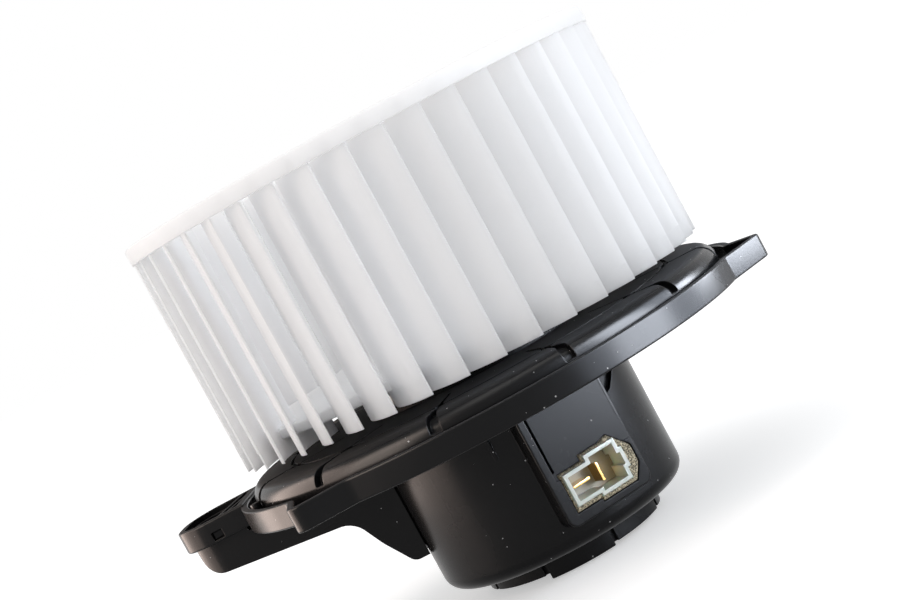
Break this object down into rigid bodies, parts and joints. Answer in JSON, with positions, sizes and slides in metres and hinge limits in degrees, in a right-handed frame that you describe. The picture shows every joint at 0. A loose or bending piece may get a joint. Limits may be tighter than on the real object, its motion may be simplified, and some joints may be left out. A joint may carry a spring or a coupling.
{
  "type": "car cabin blower motor",
  "caption": "Cabin blower: a white cage fan wheel on a brushed motor in a black flanged housing with a cooling duct and a connector socket.",
  "frame": {"origin": "on the rotor axis, at the foot of the end cap that the blower stands on", "axes": "+Z along the rotor axis towards the fan wheel; -X towards the cooling duct; -Y towards the side with the connector"},
  "size_m": [0.1909, 0.1686, 0.1396],
  "materials": {
    "white_polypropylene": "satin, slightly translucent",
    "black_plastic": "satin moulding",
    "nylon": "satin",
    "brass": "stamped sheet",
    "foam": "speckled foam",
    "pressed_steel": "plated pressing",
    "shaft_steel": "ground",
    "spring_steel": "plain",
    "ferrite": "sintered",
    "card_plastic": "matt",
    "carbon": "matt",
    "copper": "enamelled wire and bare bars",
    "sintered_bronze": "sintered",
    "rubber": "matt",
    "core_steel": "stacked laminations",
    "washer_plastic": "smooth"
  },
  "bodies": {
    "housing": {"motor_housing": "black_plastic", "cooling_duct": "black_plastic", "end_cap": "black_plastic", "connector_shell": "nylon", "terminal_flat": "brass", "terminal_upright": "brass", "connector_seal": "foam", "motor_can": "pressed_steel", "magnet_left": "ferrite", "magnet_right": "ferrite", "magnet_clip_front": "spring_steel", "magnet_clip_back": "spring_steel", "end_bracket": "pressed_steel", "brush_card": "card_plastic", "brush_holder_left": "brass", "brush_holder_right": "brass", "brush_left": "carbon", "brush_right": "carbon", "brush_spring_left": "spring_steel", "brush_spring_right": "spring_steel", "choke_front": "copper", "choke_back": "copper", "bearing_upper": "sintered_bronze", "bearing_lower": "sintered_bronze", "bearing_retainer_upper": "spring_steel", "bearing_retainer_lower": "spring_steel", "isolator_upper": "rubber", "isolator_lower": "rubber"},
    "rotor": {"fan_wheel": "white_polypropylene", "fan_blades": "white_polypropylene", "hub_clip": "spring_steel", "shaft": "shaft_steel", "armature_core": "core_steel", "armature_winding": "copper", "commutator": "copper", "thrust_washer_upper": "washer_plastic", "thrust_washer_lower": "washer_plastic"}
  },
  "joints": [
    {"name": "fan_spin", "type": "hinge", "parent": "housing", "child": "rotor", "pos_m": [0, 0, 0.085], "axis": [0, 0, 1], "continuous": true}
  ]
}
